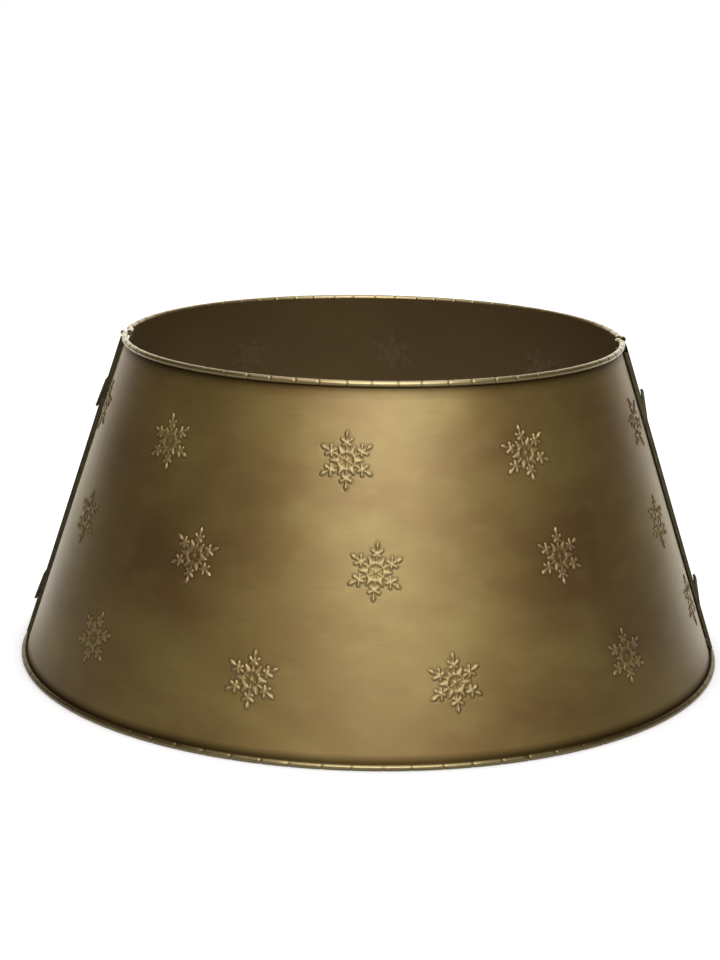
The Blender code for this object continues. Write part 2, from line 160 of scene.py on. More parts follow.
# The brass finish: how broad its clouds, stains, mottling and smears are, and how far each is drawn out round
# the sheet
CLOUD_SIZE = 0.09
CLOUD_STRETCH = (1.6, 1.0, 1.0)
STAIN_SIZE = 0.05
STAIN_STRETCH = (2.2, 0.8, 1.0)
MOTTLE_SIZE = 0.018
MOTTLE_STRETCH = (1.7, 1.0, 1.0)
SMEAR_SIZE = 0.004
SMEAR_STRETCH = (9.0, 1.0, 1.0)

# Its colours, and how much of the inner face's own ones shows there
BROWN_STAIN = "866138"
PALE_MOTTLE = "bba467"
DARK_SMEAR = "6b5430"
# Painted shade in the grooves round the snowflakes
GROOVE_SHADE = "55421f"
# Ridges worn paler, with painted highlight on their crowns
RUBBED_AND_HIGHLIT_RIDGE = "dcc99a"
# Painted shade in the corners beside the rims, on the rolls towards them and in their nips; the bottom roll
# is also darker all round
CORNER_SHADE = "36270f"
# The inner face's plainer colour, a little darker as painted shade
INNER_FACE = "826838"
# Painted highlight in the hollows behind the snowflakes
PAINTED_HOLLOW_HIGHLIGHT = "a08458"
PAINTED_HOLLOW_HIGHLIGHT_SHARE = 0.8
INNER_FACE_SHARE = 0.8

# Where on their patterns the clouds and the change of gloss start and end
CLOUDS_AT = (0.35, 0.68)
GLOSS_AT = (0.3, 0.7)

# Painted shade in the finish: how far it reaches up or down the sheet from the corners at the rims, how much
# darker the rolls are all round, how much of it their nips hold, and from which share of a roll's radius on
# it gathers towards the corner
TOP_CORNER_SHADE = 0.0065
FOOT_CORNER_SHADE = 0.0045
# How much darker each roll is all round
ROLL_DARKENING_SHARES = {"top": 0.0, "bottom": 0.28}
NIP_SHADE_SHARES = {"top": 0.35, "bottom": 0.75}
ROLL_CORNER_SHARES = {"top": 0.25, "bottom": 0.75}
ROLL_CORNER_SHADE = 0.85

# The dark strips, whose colour is also painted shade on the seams' lands, and the wires
STRIP_CLOUD_SIZE = 0.006
STRIP_CLOUDS_AT = (0.35, 0.70)
STRIP_SHADES = ("5a5440", "6e6850")
STRIP_GLINT = "8a8570"
STRIP_ROUGHNESS = (0.52, 0.62)
WIRE_LINE_SIZE = 0.001
WIRE_SHADES = ("8f8d88", "b4b2ac")
WIRE_ROUGHNESS = (0.3, 0.5)

# The studio, and the camera as it stood for the photograph
FLOOR_HALF_SIZE = 4
SHADOW_WIDTH = 0.04
SWEEP_HALF_WIDTH = 0.26
SWEEP_SHIFT = 0.03
SWEEP_SPREAD = 0.85
SWEEP_EDGE = 0.18
SWEEP_START = 0.1
ROOM_LEVEL = 0.038
ROOM_TINT = "ffcda8"
BACKDROP_FROM = 0.61
BACKDROP_FULL = 0.95
BACKDROP_LEVEL = 1.6
PAPER_TINT = "fcfff6"
FLOOR_TINT = "b4b4b4"
WHITE = "ffffff"
CAMERA_PLACE = (0.0365, -1.5927, 0.5366)
CAMERA_HEADING = radians(1.635)
CAMERA_PITCH = radians(14.04)
CAMERA_ROLL = radians(0.88)
CAMERA_LENS = 75.39
SENSOR = 36

# Worked out from the sizes above
ROLL_RADIUS = (RIM_DIAMETER - SHEET) / 2
RIM_FOOT = (BOTTOM_DIAMETER - RIM_DIAMETER) / 2, RIM_DIAMETER / 2
RIM_TOP = (TOP_DIAMETER - RIM_DIAMETER) / 2, HEIGHT - RIM_DIAMETER / 2
LEAN = atan2(RIM_FOOT[0] - RIM_TOP[0], RIM_TOP[1] - RIM_FOOT[1])
LIFT_OUTWARD = (HOOK_ENGAGEMENT + CLEARANCE) / cos(LEAN) * sin(LEAN)
LAND_TOP = RIM_DIAMETER + LAND_GAP_AT_RIM
LAND_FOOT = SHEET + SEAM_GAP_AT_FOOT - LAP_INSET_BOTTOM
LOW_LAND_HEIGHT = RIM_DIAMETER + RIM_GAP
NOTCH_HEIGHT = HEIGHT - NOTCH_DEPTH
HIGH_LAND_HEIGHT = HEIGHT - RIM_DIAMETER - RIM_GAP
LAP_END = -LAND_WIDTH / 2 + LAP_END_GAP
TOP_LEADS = ["top lead %d" % step for step in range(1, RIM_LEAD_STEPS + 1)]
LAND_AT_LEAD = "land %d" % round(LAND_COLUMNS * (1 - (RIM_LEAD - LAND_RUN) / LAND_WIDTH))
MEAN_RADIUS = (RIM_FOOT[0] + RIM_TOP[0]) / 2


# The cone of the sheet's middle surface, and how far each seam moves it in or out

def cone_radius(height):
    share = (height - RIM_FOOT[1]) / (RIM_TOP[1] - RIM_FOOT[1])
    return RIM_FOOT[0] + (RIM_TOP[0] - RIM_FOOT[0]) * share - ROLL_RADIUS / cos(LEAN)


def between(foot, top, height):
    share = (height - RIM_FOOT[1]) / (RIM_TOP[1] - RIM_FOOT[1])
    return foot + (top - foot) * share


def land_offset(height):
    return between(LAND_FOOT, LAND_TOP, height)


def inset_offset(height):
    return -between(LAP_INSET_BOTTOM, LAP_INSET_TOP, height)


def flange_offset(height):
    return SHEET / 2 + (LIFT_OUTWARD + CLEARANCE) / cos(LEAN)


def eased(share):
    return share * share * (3 - 2 * share)


def lead_offset(height):
    return RIM_LEAD_SET_OUT


class Station:
    """One upright line of the sheet: round the cone by a turn, or beside a seam by a distance."""

    def __init__(self, side=None, across=0.0, turn=0.0, offset=None, share=1.0):
        self.side = side
        self.across = across
        self.turn = turn
        self.offset = offset
        self.share = share

    def point(self, radius, height):
        reach = radius + (self.offset(height) * self.share if self.offset else 0)
        if self.side is None:
            return Vector((reach * sin(self.turn), -reach * cos(self.turn), height))
        x = sqrt(reach * reach - self.across * self.across)
        if self.side == "left":
            return Vector((-x, self.across, height))
        return Vector((x, -self.across, height))


def panel_stations(rim_end):
    """The sheet's stations from its land at the left seam to its set-in end at the right seam.

    The leads come last: there the rolled rims run on past the joggle without a wall.
    """
    edge = LAND_WIDTH / 2
    joggle = -edge - LAND_RUN
    inset_start = edge - SHEET
    inset_end = RIVET_HEAD_DIAMETER / 2 + CLEARANCE
    stations = {"flange": Station("left", edge, offset=flange_offset)}
    for step in range(LAND_COLUMNS + 1):
        across = edge - LAND_WIDTH * step / LAND_COLUMNS
        stations["land %d" % step] = Station("left", across, offset=land_offset)
    for step in range(1, BEND_COLUMNS):
        share = step / BEND_COLUMNS
        across = -edge - LAND_RUN * share
        stations["bend %d" % step] = Station("left", across, 0, land_offset, 1 - eased(share))
    stations["joggle"] = Station("left", joggle)
    for step in range(PANEL_COLUMNS + 1):
        share = 2 * step / PANEL_COLUMNS - 1
        stations["round %d" % step] = Station(turn=PANEL_HALF_TURN * share)
    stations["rim end"] = Station("right", -joggle)
    stations["inset start"] = Station("right", inset_start)
    for step in range(1, BEND_COLUMNS):
        share = step / BEND_COLUMNS
        across = inset_start + (inset_end - inset_start) * share
        stations["inset %d" % step] = Station("right", across, 0, inset_offset, eased(share))
    stations["inset end"] = Station("right", inset_end, offset=inset_offset)
    stations["high rim end"] = Station("right", rim_end, offset=inset_offset)
    stations["lap end"] = Station("right", LAP_END, offset=inset_offset)
    stations["low lead"] = Station("left", -RIM_MEETING_GAP)
    for step, name in enumerate(TOP_LEADS, 1):
        share = step / RIM_LEAD_STEPS
        stations[name] = Station("left", joggle + RIM_LEAD * share, 0, lead_offset, eased(share))
    return stations


def run_of(stations, first, last):
    names = list(stations)
    return names[names.index(first):names.index(last) + 1]


def roll_corners(wall, flat, end):
    """Corners of the rolled rim round its wire: the wall is the first facet, and one facet lies flat."""
    first = ceil(abs(flat - wall) / RIM_FACET_TURN)
    rest = ceil(abs(end - flat) / RIM_FACET_TURN) - 1
    facets = [wall + (flat - wall) * step / first for step in range(first + 1)]
    turn = 2 * (end - flat) / (2 * rest + 1)
    facets += [flat + turn * step for step in range(1, rest + 2)]
    corners = []
    for here, there in zip(facets, facets[1:]):
        reach = ROLL_RADIUS / cos((there - here) / 2)
        corners.append((reach * cos((here + there) / 2), reach * sin((here + there) / 2)))
    return corners


WALL_FACING = pi + LEAN
ROLL_TURN = pi + acos((RIM_MOUTH + SHEET - ROLL_RADIUS) / ROLL_RADIUS)
LOW_ROLL = roll_corners(WALL_FACING, radians(270), WALL_FACING + ROLL_TURN)
HIGH_ROLL = roll_corners(WALL_FACING, radians(90), WALL_FACING - ROLL_TURN)
WALL_FOOT = RIM_FOOT[1] + LOW_ROLL[0][1]
WALL_TOP = RIM_TOP[1] + HIGH_ROLL[0][1]


class Sheet:
    """An open surface pulled row by row out of chains of edges, one corner at each station."""

    def __init__(self, stations):
        self.bm = bmesh.new()
        self.layer = self.bm.verts.layers.int.new("station")
        self.names = list(stations)
        self.stations = [stations[name] for name in self.names]

    def chain(self, names, radius, height, joggle_of=()):
        """New edges through the named stations, on from an older chain's corner at the joggle."""
        joggle = self.names.index("joggle")
        corners = [corner for edge in joggle_of for corner in edge.verts if corner[self.layer] == joggle]
        for name in names:
            index = self.names.index(name)
            corner = self.bm.verts.new(self.stations[index].point(radius, height))
            corner[self.layer] = index
            corners.append(corner)
        return [self.bm.edges.new(pair) for pair in zip(corners, corners[1:])]

    def part_of(self, edges, first, last):
        low, high = self.names.index(first), self.names.index(last)
        return [edge for edge in edges if all(low <= corner[self.layer] <= high for corner in edge.verts)]

    def pull(self, edges, radius, height):
        made = bmesh.ops.extrude_edge_only(self.bm, edges=edges)["geom"]
        corners = {item for item in made if isinstance(item, bmesh.types.BMVert)}
        for corner in corners:
            corner.co = self.stations[corner[self.layer]].point(radius, height)
        new_edges = [item for item in made if isinstance(item, bmesh.types.BMEdge)]
        return [edge for edge in new_edges if corners.issuperset(edge.verts)]

    def pull_wall(self, edges, low, high):
        """Rows of about one step from a height to a higher one."""
        rows = max(1, round((high - low) / ROW_STEP))
        for row in range(1, rows + 1):
            height = low + (high - low) * row / rows
            edges = self.pull(edges, cone_radius(height), height)
        return edges


def mesh_object(bm, name):
    bmesh.ops.recalc_face_normals(bm, faces=bm.faces)
    mesh = bpy.data.meshes.new(name)
    bm.to_mesh(mesh)
    bm.free()
    thing = bpy.data.objects.new(name, mesh)
    bpy.context.scene.collection.objects.link(thing)
    return thing


def settled(thing):
    """The object with its modifiers applied."""
    bpy.context.view_layer.update()
    graph = bpy.context.evaluated_depsgraph_get()
    mesh = bpy.data.meshes.new_from_object(thing.evaluated_get(graph))
    thing.modifiers.clear()
    thing.data = mesh
    mesh.name = thing.name
    return thing


def thicken(thing, thickness):
    wall = thing.modifiers.new("thickness", "SOLIDIFY")
    wall.thickness = thickness
    wall.offset = 0
    wall.use_even_offset = True
    wall.use_quality_normals = True


def smooth(thing):
    thing.data.shade_smooth()
    thing.data.set_sharp_from_angle(angle=CREASE_ANGLE)


def cut(thing, cutters):
    for other in cutters:
        step = thing.modifiers.new(other.name, "BOOLEAN")
        step.operation = "DIFFERENCE"
        step.object = other
    settled(thing)
    for other in cutters:
        bpy.data.objects.remove(other)


# Openings for the hooks

def seam_frame(side, height, offset):
    """A frame on the sheet's middle at a seam: X up the sheet, Y across it, Z outwards."""
    turn = 1 if side == "right" else -1
    here = Vector((turn * (cone_radius(height) + offset(height)), 0, height))
    above = height + HOOK_LENGTH
    there = Vector((turn * (cone_radius(above) + offset(above)), 0, above))
    up = (there - here).normalized()
    across = Vector((0, -turn, 0))
    return Matrix.Translation(here) @ Matrix((up, across, up.cross(across))).transposed().to_4x4()


def hook_height(seam, place):
    return HEIGHT * HOOK_HEIGHT_SHARES[seam][place]


def hook_start(points):
    return -points * HOOK_LENGTH / 2


def land_rise(height, along):
    """From the set-in end's middle to the land's middle, square to the sheet, at a place on a hook."""
    there = height + along * cos(LEAN)
    return (land_offset(there) - inset_offset(there)) * cos(LEAN)


def box_cutter(name, low, high, place):
    bm = bmesh.new()
    corners = bmesh.ops.create_cube(bm, size=1)["verts"]
    size = Matrix.Diagonal((Vector(high) - Vector(low)).to_4d())
    middle = Matrix.Translation((Vector(high) + Vector(low)) / 2)
    bmesh.ops.transform(bm, matrix=place @ middle @ size, verts=corners)
    return mesh_object(bm, name)


def window_cutter(height, points):
    """The opening in a land through which the other half's hook comes out and is lifted off."""
    start = hook_start(points)
    back = start - points * (HOOK_ENGAGEMENT + HOOK_THICKNESS / 2 + 2 * CLEARANCE)
    front = start + points * (HOOK_LENGTH - HOOK_ENGAGEMENT)
    side = HOOK_WIDTH / 2 + HOOK_WINDOW_SIDE_GAP
    rise = land_rise(height, 0)
    low = (min(back, front), -side, rise - OVERRUN)
    high = (max(back, front), side, rise + OVERRUN)
    return box_cutter("window", low, high, seam_frame("left", height, inset_offset))


def slit_cutter(height, points):
    """The slit for a hook's neck, in the set-in end that carries it."""
    start = hook_start(points)
    neck = HOOK_THICKNESS / 2 + CLEARANCE
    side = HOOK_WIDTH / 2 + CLEARANCE
    low = (start - neck, -side, -OVERRUN)
    high = (start + neck, side, OVERRUN)
    return box_cutter("slit", low, high, seam_frame("right", height, inset_offset))


# Snowflakes

def ridges(along, across):
    """For points folded into half an arm: how high the ridges stand, and how far off the nearest one is."""
    radius = FLAKE_DIAMETER / 2
    height = np.zeros_like(along)
    off = np.full_like(along, FLAKE_DIAMETER)
    for *start, start_width, end_along, end_across, end_width, top in RIDGE_SHARES:
        start = np.array(start) * radius
        line = np.array((end_along, end_across)) * radius - start
        length = max(float(line @ line), WELD * WELD)
        place = np.clip(((along - start[0]) * line[0] + (across - start[1]) * line[1]) / length, 0, 1)
        width = (start_width + (end_width - start_width) * place) * radius
        gap = np.hypot(along - start[0] - line[0] * place, across - start[1] - line[1] * place) - width
        inward = np.clip((FLAKE_EDGE / 2 - gap) / (width + FLAKE_EDGE / 2), 0, 1)
        height = np.maximum(height, top * (1 - (1 - inward) ** RIDGE_FLATNESS) ** RIDGE_STEEPNESS)
        off = np.minimum(off, gap)
    return height, off


def flake_local(place, turn, height):
    """Across and along a snowflake, for points of the sheet given by their turn and height."""
    height_share, turn_share, tilt = place
    middle = HEIGHT * height_share
    along = (height - middle) / cos(LEAN)
    across = (turn - pi * turn_share) * cone_radius(middle)
    lean = radians(tilt)
    return across * cos(lean) - along * sin(lean), across * sin(lean) + along * cos(lean)


def folded(across, along):
    """Points folded into half a snowflake's arm: how far out they are, and how far along and across it."""
    reach = np.hypot(across, along)
    turn = np.arctan2(across, along)
    turn = np.abs(turn - np.round(turn / ARM_TURN) * ARM_TURN)
    return reach, reach * np.cos(turn), reach * np.sin(turn)


def flake_relief(across, along):
    """The stamped height over the sheet's face as a share of the relief, with the groove round its ridges."""
    reach, along, across = folded(across, along)
    height, off = ridges(along, across)
    groove = np.sin(pi * np.clip(off / FLAKE_GROOVE_WIDTH, 0, 1)) * FLAKE_GROOVE_DEPTH / FLAKE_RELIEF
    field = np.clip(2 - 2 * reach / (FLAKE_FIELD_SHARE * FLAKE_DIAMETER / 2), 0, 1)
    low = np.maximum(groove, field * FLAKE_FIELD_DEPTH / FLAKE_RELIEF)
    return height - low * (1 - np.clip(height, 0, 1))


def back_relief(across, along):
    """The soft hollow that the stamp leaves in the inner face."""
    reach, along, across = folded(across, along)
    height, off = ridges(along, across)
    return 1 - eased(np.clip((off + FLAKE_BACK_SOFTNESS / 2) / FLAKE_BACK_SOFTNESS, 0, 1))


def flake_distance(across, along):
    """How far off a snowflake's nearest ridge is."""
    reach, along, across = folded(across, along)
    return ridges(along, across)[1]


def refine_flakes(thing):
    """Cuts the sheet's faces fine under each snowflake: finest on the outer face, coarser on the inner."""
    bm = bmesh.new()
    bm.from_mesh(thing.data)
    centres = np.array([face.calc_center_median() for face in bm.faces])
    half_size = np.sqrt(np.array([face.calc_area() for face in bm.faces])) / 2
    around = np.arctan2(centres[:, 0], -centres[:, 1])
    outside = np.hypot(centres[:, 0], centres[:, 1]) > cone_radius(centres[:, 2])
    under = np.zeros(len(centres), bool)
    for place in FLAKE_PLACE_SHARES:
        across, along = flake_local(place, around, centres[:, 2])
        for step_x, step_y in product((-1, 0, 1), repeat=2):
            off = flake_distance(across + step_x * half_size, along + step_y * half_size)
            under |= off < FLAKE_GROOVE_WIDTH
    sides = [(under & outside, FLAKE_CUTS), (under & ~outside, FLAKE_BACK_CUTS)]
    faces = list(bm.faces)
    chosen = [([faces[index] for index in np.nonzero(side)[0]], cuts) for side, cuts in sides]
    for side_faces, cuts in chosen:
        edges = list(dict.fromkeys(edge for face in side_faces for edge in face.edges))
        bmesh.ops.subdivide_edges(bm, edges=edges, cuts=cuts, use_grid_fill=True)
    bm.to_mesh(thing.data)
    bm.free()


def spots_of(mesh):
    spots = np.empty(len(mesh.vertices) * 3)
    mesh.vertices.foreach_get("co", spots)
    return spots.reshape(-1, 3)


def stamp(thing, shift):
    """Moves the sheet's faces on to the true cone with its snowflakes, and notes what the finish needs."""
    mesh = thing.data
    spots = spots_of(mesh)
    around = np.arctan2(spots[:, 0], -spots[:, 1])
    reach = np.hypot(spots[:, 0], spots[:, 1])
    proud = (reach - cone_radius(spots[:, 2])) * cos(LEAN)
    plain = np.abs(np.abs(proud) - SHEET / 2) < PLAIN_LEEWAY
    outer = proud > 0
    relief = np.zeros(len(spots))
    lift = np.zeros(len(spots))
    for place in FLAKE_PLACE_SHARES:
        across, along = flake_local(place, around, spots[:, 2])
        near = plain & (np.hypot(across, along) < FLAKE_DIAMETER)
        front, back = near & outer, near & ~outer
        shares = flake_relief(across[front], along[front])
        relief[front] += shares
        lift[front] += shares * FLAKE_RELIEF
        hollow = back_relief(across[back], along[back])
        relief[back] -= hollow
        lift[back] += hollow * FLAKE_BACK_RELIEF
    up = (spots[:, 2] - WALL_FOOT) / (WALL_TOP - WALL_FOOT)
    to_edge = np.minimum(np.minimum(up, 1 - up) * HEIGHT, np.abs(spots[:, 1]) - LAND_WIDTH)
    fade = eased(np.clip(to_edge / WAVE_FADE, 0, 1))
    for number, (turns, rises, size) in enumerate(WAVES):
        lift += fade * size * np.sin(turns * around + 2 * pi * rises * up + number)
    level = np.where(outer, SHEET / 2, -SHEET / 2)
    target = np.where(plain, level + lift - proud, 0)
    radial = np.stack((spots[:, 0] / reach, spots[:, 1] / reach), axis=1)
    spots[:, 0:2] += radial * (target * cos(LEAN))[:, None]
    spots[:, 2] += target * sin(LEAN)
    mesh.vertices.foreach_set("co", spots.ravel())
    # Painted shade on the outer face under the top roll and over the foot roll
    under_rim = np.clip(1 - (HEIGHT - RIM_DIAMETER - spots[:, 2]) / TOP_CORNER_SHADE, 0, 1)
    over_rim = np.clip(1 - (spots[:, 2] - RIM_DIAMETER) / FOOT_CORNER_SHADE, 0, 1)
    note_finish(mesh, spots, relief, outer, shift, np.maximum(under_rim, over_rim) * outer)
    mesh.update()


def note_finish(mesh, spots, relief, outer, shift, corner):
    """Stores what the finish follows: the place on the unrolled sheet, relief, inner face and corners."""
    around = np.arctan2(spots[:, 0], -spots[:, 1])
    flat = (around * MEAN_RADIUS + shift, spots[:, 2] / cos(LEAN), np.zeros(len(spots)))
    sheet = mesh.attributes.new("unrolled", "FLOAT_VECTOR", "POINT")
    sheet.data.foreach_set("vector", np.stack(flat, axis=1).astype(np.float32).ravel())
    for name, values in (("relief", relief), ("inner face", ~outer), ("corner", corner)):
        noted = mesh.attributes.new(name, "FLOAT", "POINT")
        noted.data.foreach_set("value", values.astype(np.float32))


def collar_sheet(name, half):
    """One half's wall with its land and set-in end, its windows and slits and its snowflakes."""
    stations = panel_stations(half["rim_end"])
    sheet = Sheet(stations)
    foot = sheet.chain(run_of(stations, "joggle", "lap end"), cone_radius(WALL_FOOT), WALL_FOOT)
    above = sheet.pull(foot, cone_radius(LOW_LAND_HEIGHT), LOW_LAND_HEIGHT)
    land_run = reversed(run_of(stations, "flange", "joggle")[:-1])
    land = sheet.chain(land_run, cone_radius(LOW_LAND_HEIGHT), LOW_LAND_HEIGHT, joggle_of=above)
    notch = sheet.pull_wall(land + above, LOW_LAND_HEIGHT, NOTCH_HEIGHT)
    wall_row = sheet.part_of(notch, "joggle", "high rim end")
    land_row = sheet.part_of(notch, half["high_land"], "joggle")
    shoulder = sheet.pull_wall(land_row + wall_row, NOTCH_HEIGHT, HIGH_LAND_HEIGHT)
    sheet.pull_wall(sheet.part_of(shoulder, "joggle", "high rim end"), HIGH_LAND_HEIGHT, WALL_TOP)
    thing = mesh_object(sheet.bm, name)
    thicken(thing, SHEET)
    seam, points = half["seam"], half["points"]
    other_seam = "left" if seam == "right" else "right"
    cutters = []
    for place in HOOK_HEIGHT_SHARES[seam]:
        cutters.append(window_cutter(hook_height(other_seam, place), -points))
        cutters.append(slit_cutter(hook_height(seam, place), points))
    cut(thing, cutters)
    refine_flakes(thing)
    stamp(thing, half["turn"])
    smooth(thing)
    # The land takes its second material, the dark one of the strips, as painted shade
    for face in thing.data.polygons:
        if face.center.x < 0 and face.center.y > -LAND_WIDTH / 2 - LAND_RUN:
            face.material_index = 1
    return thing


def turn_of(point):
    return atan2(point.x, -point.y)


def crimp_turns(rim, middle):
    step = CRIMP_SPACING[rim] / middle[0]
    most = int(PANEL_HALF_TURN / step)
    numbers = np.arange(-most, most + 1)
    return CRIMP_START[rim] + step * (numbers + CRIMP_WANDER_SHARE * np.sin(numbers * numbers))


def nip(bm, rounds, rim, middle):
    """Cuts the roll fine at each crimp and presses it in there."""
    turns = crimp_turns(rim, middle)
    reach = CRIMP_HALF_WIDTH / middle[0]
    chosen = []
    for edges in rounds:
        for edge in edges:
            low, high = sorted(turn_of(corner.co) for corner in edge.verts)
            if ((turns > low - reach) & (turns < high + reach)).any():
                chosen.append(edge)
    bmesh.ops.subdivide_edges(bm, edges=chosen, cuts=CRIMP_CUTS, use_grid_fill=True)
    for corner in bm.verts:
        gap = np.abs(turns - turn_of(corner.co)).min() / reach
        if gap < 1:
            radial = Vector((corner.co.x, corner.co.y, 0))
            level = Vector((radial.length - middle[0], corner.co.z - middle[1]))
            inward = -level.normalized() * CRIMP_DEPTH * (1 - eased(gap))
            corner.co += radial.normalized() * inward.x + Vector((0, 0, inward.y))


def roll_shade_and_darkening(spots, rim, middle):
    """How much darker each point of a roll is: all round, and by painted shade in its nips and towards the
    sheet's corner.
    """
    around = np.arctan2(spots[:, 0], -spots[:, 1])
    gap = np.abs(around[:, None] - crimp_turns(rim, middle)).min(axis=1) * middle[0] / CRIMP_HALF_WIDTH
    nips = NIP_SHADE_SHARES[rim] * (1 - eased(np.clip(gap, 0, 1)))
    side = -1 if rim == "top" else 1
    facing = side * (spots[:, 2] - middle[1]) / ROLL_RADIUS
    clear = ROLL_CORNER_SHARES[rim]
    corner = ROLL_CORNER_SHADE * np.clip((facing - clear) / (1 - clear), 0, 1)
    return np.maximum(np.maximum(nips, corner), ROLL_DARKENING_SHARES[rim])


def rolled_rim(name, rim, half):
    """A rolled rim, nipped in at its crimps."""
    stations = panel_stations(half["rim_end"])
    if rim == "top":
        corners, middle = HIGH_ROLL, RIM_TOP
        run = TOP_LEADS[::-1] + run_of(stations, "joggle", "high rim end")
    else:
        corners, middle = LOW_ROLL, RIM_FOOT
        run = ["low lead"] + run_of(stations, "joggle", half["low_rim_end"])
    sheet = Sheet(stations)
    edges = sheet.chain(run, middle[0] + corners[0][0], middle[1] + corners[0][1])
    rounds = [edges]
    for across, up in corners[1:]:
        edges = sheet.pull(edges, middle[0] + across, middle[1] + up)
        rounds.append(edges)
    nip(sheet.bm, rounds, rim, middle)
    thing = mesh_object(sheet.bm, name)
    thicken(thing, SHEET)
    settled(thing)
    spots = spots_of(thing.data)
    plain, outer = np.zeros(len(spots)), np.ones(len(spots), bool)
    note_finish(thing.data, spots, plain, outer, half["turn"], roll_shade_and_darkening(spots, rim, middle))
    smooth(thing)
    return thing


def hook(name, height, points):
    """A bent strip: foot on the sheet's inner face, neck through both laps, tongue rising over the land."""
    start = hook_start(points)
    inside = -(SHEET / 2 + CLEARANCE + HOOK_THICKNESS / 2)
    outside = (SHEET + HOOK_THICKNESS) / 2
    tip_gap = LIFT_OUTWARD + CLEARANCE if points > 0 else DOWN_HOOK_GAP
    neck_sunk = HOOK_THICKNESS if points > 0 else DOWN_HOOK_NECK_SUNK
    tip = start + points * HOOK_LENGTH
    line = (
        (start + points * HOOK_FOOT_LENGTH, inside),
        (start, inside),
        (start, land_rise(height, start) + outside - neck_sunk),
        (tip, land_rise(height, tip) + outside + tip_gap),
    )
    bm = bmesh.new()
    corners = [bm.verts.new((along, -HOOK_WIDTH / 2, out)) for along, out in line]
    edges = [bm.edges.new(pair) for pair in zip(corners, corners[1:])]
    made = bmesh.ops.extrude_edge_only(bm, edges=edges)["geom"]
    far = [item for item in made if isinstance(item, bmesh.types.BMVert)]
    bmesh.ops.translate(bm, vec=(0, HOOK_WIDTH, 0), verts=far)
    folds = [edge for edge in bm.edges if len(edge.link_faces) == 2]
    bmesh.ops.bevel(
        bm, geom=folds, offset=HOOK_BEND, offset_type="OFFSET", segments=HOOK_BEND_STEPS, profile=0.5,
        affect="EDGES", material=-1,
    )
    bmesh.ops.transform(bm, matrix=seam_frame("right", height, inset_offset), verts=bm.verts)
    thing = mesh_object(bm, name)
    thicken(thing, HOOK_THICKNESS)
    edge = thing.modifiers.new("worn edges", "BEVEL")
    edge.width = HOOK_EDGE
    edge.segments = HOOK_EDGE_STEPS
    edge.angle_limit = HOOK_EDGE_ANGLE
    settled(thing)
    smooth(thing)
    return thing


def rivet(name, height, points, share):
    """A rivet with a low dome on each side."""
    along = hook_start(points) + points * HOOK_FOOT_LENGTH * share
    outer = SHEET / 2 + CLEARANCE
    inner = -(SHEET / 2 + CLEARANCE + HOOK_THICKNESS + CLEARANCE)
    head = RIVET_HEAD_DIAMETER / 2
    dome = []
    for step in range(RIVET_DOME_STEPS + 1):
        lean = pi / 2 * step / RIVET_DOME_STEPS
        dome.append((head * sin(lean), RIVET_HEAD_HEIGHT * cos(lean)))
    shank = RIVET_SHANK_DIAMETER / 2
    profile = [(out, outer + up) for out, up in dome] + [(shank, outer), (shank, inner)]
    profile += [(out, inner - up) for out, up in reversed(dome)]
    bm = bmesh.new()
    corners = [bm.verts.new((out, 0, up)) for out, up in profile]
    edges = [bm.edges.new(pair) for pair in zip(corners, corners[1:])]
    whole_turn = {"angle": 2 * pi, "steps": RIVET_STEPS, "use_merge": True}
    bmesh.ops.spin(bm, geom=corners + edges, axis=(0, 0, 1), cent=(0, 0, 0), **whole_turn)
    bmesh.ops.remove_doubles(bm, verts=bm.verts, dist=WELD)
    seat = seam_frame("right", height, inset_offset) @ Matrix.Translation((along, 0, 0))
    bmesh.ops.transform(bm, matrix=seat, verts=bm.verts)
    thing = mesh_object(bm, name)
    smooth(thing)
    return thing


# Materials

def colour(code):
    """An sRGB hex colour as linear light."""
    values = [int(code[start:start + 2], 16) / 255 for start in (0, 2, 4)]
    linear = [value / 12.92 if value <= 0.04045 else ((value + 0.055) / 1.055) ** 2.4 for value in values]
    return (*linear, 1.0)


def add_node(tree, kind, settings=None, inputs=None):
    """Adds a node: settings are its own fields, and inputs are values or the sockets that feed it."""
    node = tree.nodes.new(kind)
    for field, value in (settings or {}).items():
        setattr(node, field, value)
    for name, value in (inputs or {}).items():
        if isinstance(value, bpy.types.NodeSocket):
            tree.links.new(value, node.inputs[name])
        else:
            node.inputs[name].default_value = value
    return node


def new_material(name):
    made = bpy.data.materials.new(name)
    made.use_nodes = True
    made.node_tree.nodes.clear()
    return made


def clouded(tree, where, size, stretch=(1, 1, 1), detail=3.0):
    """A cloudy pattern from 0 to 1, its clouds about the given size in metres, drawn out by the stretch."""
    scale = tuple(1 / (size * share) for share in stretch)
    spread = add_node(tree, "ShaderNodeMapping", {}, {"Vector": where, "Scale": scale}).outputs[0]
    clouds = add_node(tree, "ShaderNodeTexNoise", {}, {"Vector": spread, "Scale": 1.0, "Detail": detail})
    return clouds.outputs["Fac"]


def laid_over(tree, pattern, first_at, last_at, under, over, most=1.0):
    """A colour laid over another: none of it where the pattern is at first_at, and the most at last_at."""
    ends = {"From Min": first_at, "From Max": last_at, "To Max": most}
    share = add_node(tree, "ShaderNodeMapRange", {}, {"Value": pattern, **ends}).outputs[0]
    # A mix node takes its two colours at sockets 6 and 7, and gives the colour that it makes at 2
    mix = {"data_type": "RGBA"}
    return add_node(tree, "ShaderNodeMix", mix, {"Factor": share, 6: under, 7: over}).outputs[2]


